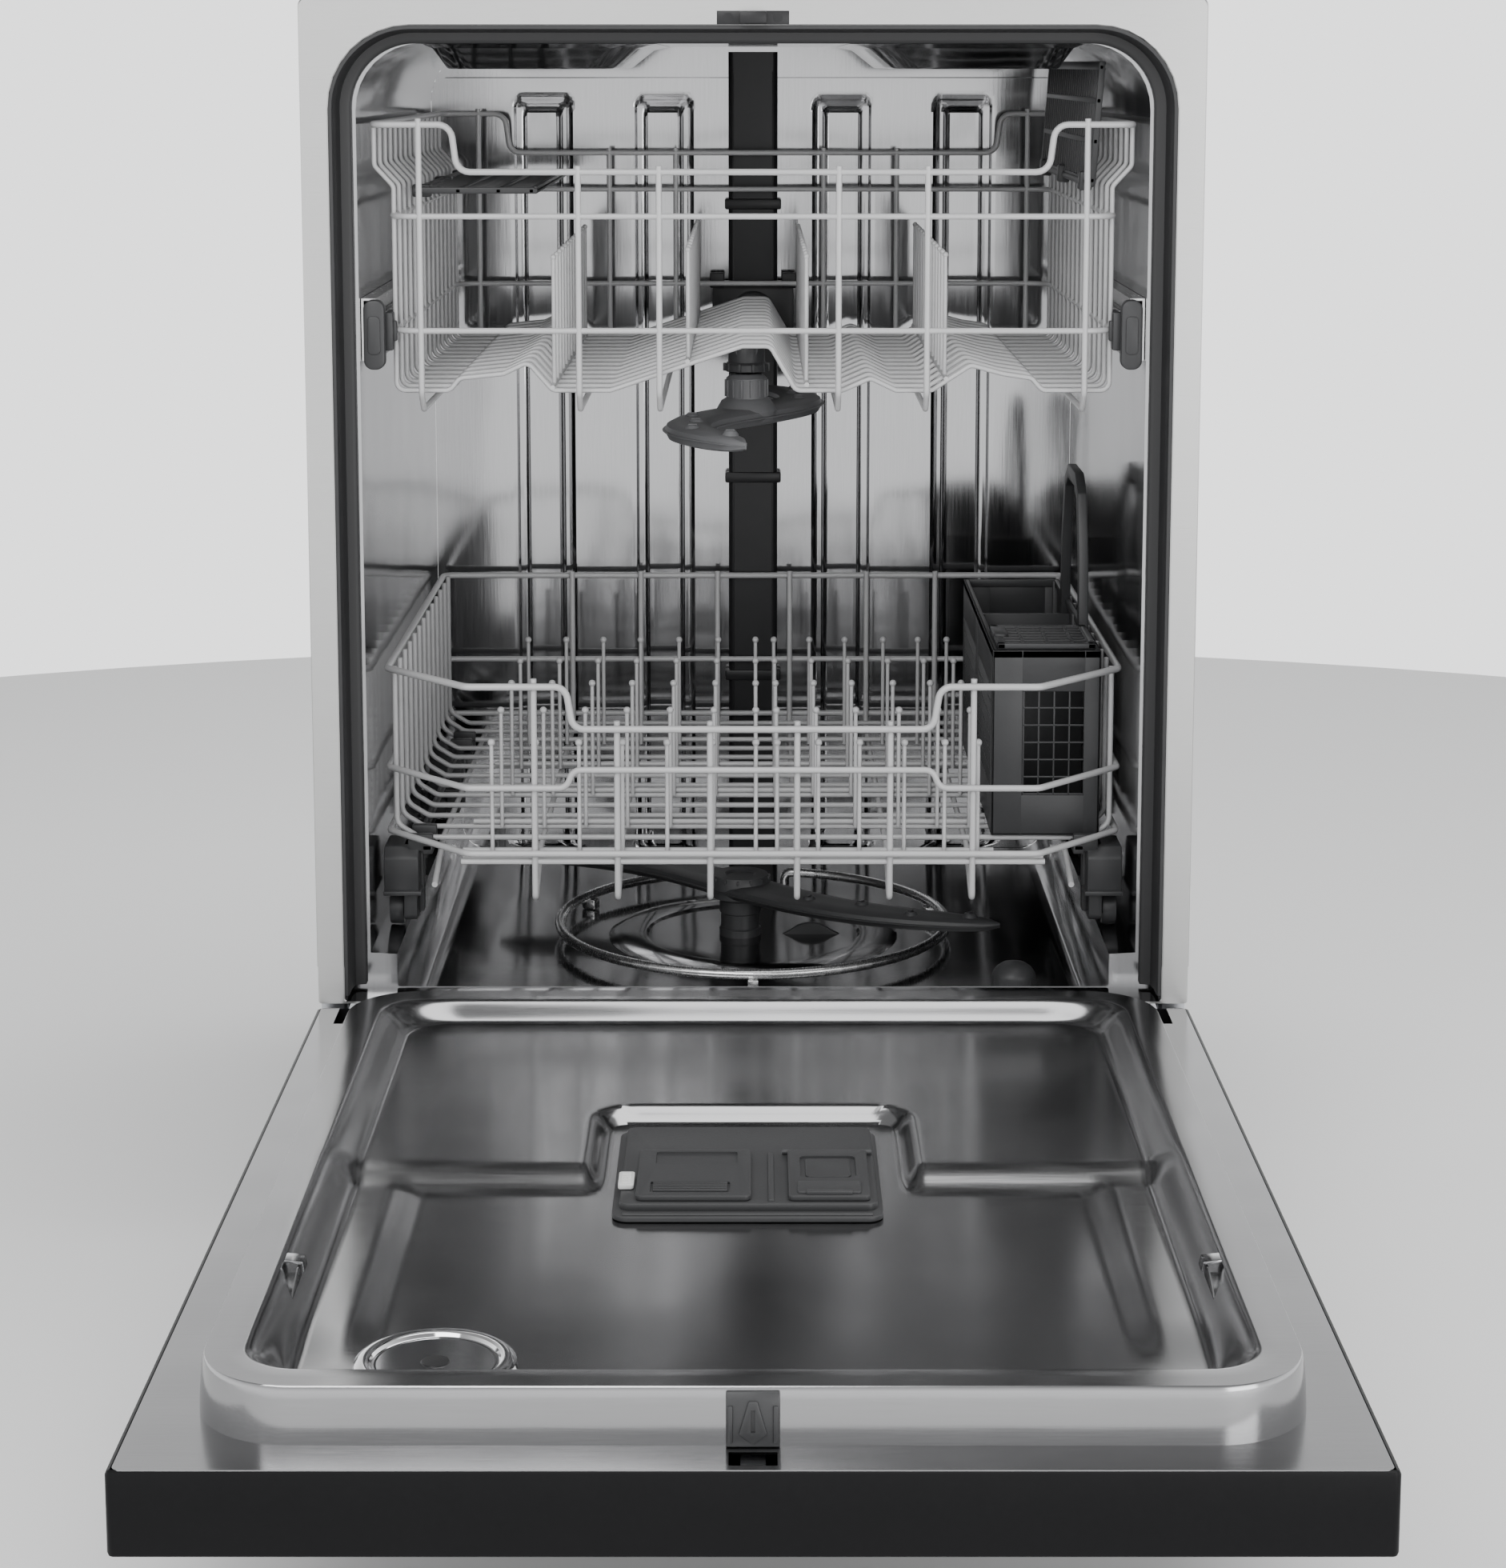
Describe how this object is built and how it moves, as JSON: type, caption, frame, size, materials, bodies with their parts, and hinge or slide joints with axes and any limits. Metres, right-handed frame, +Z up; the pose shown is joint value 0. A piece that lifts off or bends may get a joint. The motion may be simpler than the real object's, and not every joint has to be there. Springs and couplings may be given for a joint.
{
  "type": "built in dishwasher",
  "caption": "Built-in dishwasher standing open: steel tub, black drop-down door, sliding wire racks, spray arms, dispenser, silverware basket and base with pumps.",
  "frame": {"origin": "centre of the footprint of the open machine, on the floor", "axes": "+Z up, +Y from the open door into the tub, +X to the right when facing the tub"},
  "size_m": [0.603, 1.3, 0.864],
  "materials": {
    "brushed_steel": "bright rolled stainless with a fine grain",
    "black_paint": "satin black enamel",
    "black_plastic": "moulded black",
    "dark_grey_plastic": "fine moulded grain",
    "mid_grey_plastic": "fine moulded grain",
    "coated_wire": "nylon coated light grey",
    "seal_rubber": "soft black seal",
    "zinc_plate": "zinc plated",
    "blanket_felt": "pressed felt",
    "white_plastic": "moulded white"
  },
  "bodies": {
    "cabinet": {"arm_column": "dark_grey_plastic", "base_pan": "black_plastic", "circulation_pump": "dark_grey_plastic", "door_gasket": "seal_rubber", "door_spring_left": "zinc_plate", "door_spring_right": "zinc_plate", "drain_pump": "black_plastic", "feed_conduit": "black_plastic", "fine_filter": "brushed_steel", "heater_element": "brushed_steel", "hinge_bracket_left": "zinc_plate", "hinge_bracket_right": "zinc_plate", "inlet_valve": "white_plastic", "latch_strike": "black_plastic", "rail_outer_left": "brushed_steel", "rail_outer_right": "brushed_steel", "side_post_left": "zinc_plate", "side_post_right": "zinc_plate", "sound_blanket": "blanket_felt", "sump": "dark_grey_plastic", "toe_kick": "black_plastic", "tub_shell": "brushed_steel", "worktop_bracket_left": "zinc_plate", "worktop_bracket_right": "zinc_plate"},
    "door": {"door_outer_panel": "black_paint", "door_liner": "brushed_steel", "grip_pocket": "black_plastic", "dispenser_housing": "dark_grey_plastic", "door_vent": "dark_grey_plastic", "latch_cover": "dark_grey_plastic", "hinge_arm_left": "zinc_plate", "hinge_arm_right": "zinc_plate"},
    "power_button": {"power_button": "dark_grey_plastic"},
    "detergent_lid": {"detergent_lid": "dark_grey_plastic"},
    "rinse_aid_cap": {"rinse_aid_cap": "dark_grey_plastic"},
    "lid_release": {"lid_release": "white_plastic"},
    "latch_hook": {"latch_hook": "zinc_plate"},
    "upper_rack": {"upper_rack": "coated_wire", "rail_inner_left": "brushed_steel", "rail_inner_right": "brushed_steel", "middle_feed_tube": "dark_grey_plastic"},
    "middle_spray_arm": {"middle_spray_arm": "mid_grey_plastic"},
    "cup_shelf_left": {"cup_shelf_left": "dark_grey_plastic"},
    "cup_shelf_right": {"cup_shelf_right": "dark_grey_plastic"},
    "lower_rack": {"lower_rack": "coated_wire", "wheel_carrier_left": "dark_grey_plastic", "wheel_carrier_right": "dark_grey_plastic"},
    "wheel_front_left": {"wheel_front_left": "dark_grey_plastic"},
    "wheel_front_right": {"wheel_front_right": "dark_grey_plastic"},
    "wheel_rear_left": {"wheel_rear_left": "dark_grey_plastic"},
    "wheel_rear_right": {"wheel_rear_right": "dark_grey_plastic"},
    "silverware_basket": {"silverware_basket": "dark_grey_plastic"},
    "basket_lid": {"basket_lid": "dark_grey_plastic"},
    "lower_spray_arm": {"lower_spray_arm": "dark_grey_plastic"},
    "coarse_filter": {"coarse_filter": "dark_grey_plastic"},
    "float_dome": {"float_dome": "dark_grey_plastic"},
    "foot_front_left": {"foot_front_left": "black_plastic"},
    "foot_front_right": {"foot_front_right": "black_plastic"},
    "foot_rear_left": {"foot_rear_left": "black_plastic"},
    "foot_rear_right": {"foot_rear_right": "black_plastic"}
  },
  "joints": [
    {"name": "door_hinge", "type": "hinge", "parent": "cabinet", "child": "door", "pos_m": [0, 0.062, 0.152], "axis": [-1, 0, 0], "range_deg": [0, 90]},
    {"name": "upper_rack_slide", "type": "slide", "parent": "cabinet", "child": "upper_rack", "axis": [0, 1, 0], "range_m": [-0.43, 0]},
    {"name": "lower_rack_slide", "type": "slide", "parent": "cabinet", "child": "lower_rack", "axis": [0, 1, 0], "range_m": [-0.511, 0]},
    {"name": "lower_arm_spin", "type": "hinge", "parent": "cabinet", "child": "lower_spray_arm", "pos_m": [-0.01, 0.355, 0.182], "axis": [0, 0, 1], "continuous": true},
    {"name": "middle_arm_spin", "type": "hinge", "parent": "upper_rack", "child": "middle_spray_arm", "pos_m": [-0.005, 0.3615, 0.548], "axis": [0, 0, 1], "continuous": true},
    {"name": "filter_twist", "type": "hinge", "parent": "cabinet", "child": "coarse_filter", "pos_m": [0.045, 0.355, 0.15], "axis": [0, 0, 1], "range_deg": [0, 90]},
    {"name": "float_lift", "type": "slide", "parent": "cabinet", "child": "float_dome", "axis": [0, 0, 1], "range_m": [0, 0.008]},
    {"name": "detergent_lid_slide", "type": "slide", "parent": "door", "child": "detergent_lid", "axis": [0, 1, 0], "range_m": [0, 0.05]},
    {"name": "rinse_cap_hinge", "type": "hinge", "parent": "door", "child": "rinse_aid_cap", "pos_m": [0, -0.261, 0.1929], "axis": [-1, 0, 0], "range_deg": [0, 85]},
    {"name": "lid_release_slide", "type": "slide", "parent": "door", "child": "lid_release", "axis": [0, 1, 0], "range_m": [-0.004, 0]},
    {"name": "latch_hook_slide", "type": "slide", "parent": "door", "child": "latch_hook", "axis": [0, -1, 0], "range_m": [0, 0.003]},
    {"name": "power_button_press", "type": "slide", "parent": "door", "child": "power_button", "axis": [0, 0, 1], "range_m": [0, 0.0006], "stiffness_N_per_m": 400},
    {"name": "cup_shelf_left_fold", "type": "hinge", "parent": "upper_rack", "child": "cup_shelf_left", "pos_m": [-0.2365, 0.085, 0.735], "axis": [0, -1, 0], "range_deg": [0, 78]},
    {"name": "cup_shelf_right_fold", "type": "hinge", "parent": "upper_rack", "child": "cup_shelf_right", "pos_m": [0.2365, 0.085, 0.735], "axis": [0, -1, 0], "range_deg": [0, 94]},
    {"name": "basket_lift", "type": "slide", "parent": "lower_rack", "child": "silverware_basket", "axis": [0, 0, 1], "range_m": [0, 0.045]},
    {"name": "basket_lid_hinge", "type": "hinge", "parent": "silverware_basket", "child": "basket_lid", "pos_m": [0.2465, 0.085, 0.4085], "axis": [0, 1, 0], "range_deg": [0, 80]},
    {"name": "wheel_front_left_spin", "type": "hinge", "parent": "lower_rack", "child": "wheel_front_left", "pos_m": [0, 0.1965, 0.2149], "axis": [1, 0, 0], "continuous": true},
    {"name": "wheel_front_right_spin", "type": "hinge", "parent": "lower_rack", "child": "wheel_front_right", "pos_m": [0, 0.1965, 0.2149], "axis": [1, 0, 0], "continuous": true},
    {"name": "wheel_rear_left_spin", "type": "hinge", "parent": "lower_rack", "child": "wheel_rear_left", "pos_m": [0, 0.5205, 0.2149], "axis": [1, 0, 0], "continuous": true},
    {"name": "wheel_rear_right_spin", "type": "hinge", "parent": "lower_rack", "child": "wheel_rear_right", "pos_m": [0, 0.5205, 0.2149], "axis": [1, 0, 0], "continuous": true},
    {"name": "foot_front_left_turn", "type": "hinge", "parent": "cabinet", "child": "foot_front_left", "pos_m": [-0.2615, 0.165, 0], "axis": [0, 0, 1], "continuous": true},
    {"name": "foot_front_right_turn", "type": "hinge", "parent": "cabinet", "child": "foot_front_right", "pos_m": [0.2615, 0.165, 0], "axis": [0, 0, 1], "continuous": true},
    {"name": "foot_rear_left_turn", "type": "hinge", "parent": "cabinet", "child": "foot_rear_left", "pos_m": [-0.2615, 0.61, 0], "axis": [0, 0, 1], "continuous": true},
    {"name": "foot_rear_right_turn", "type": "hinge", "parent": "cabinet", "child": "foot_rear_right", "pos_m": [0.2615, 0.61, 0], "axis": [0, 0, 1], "continuous": true}
  ]
}
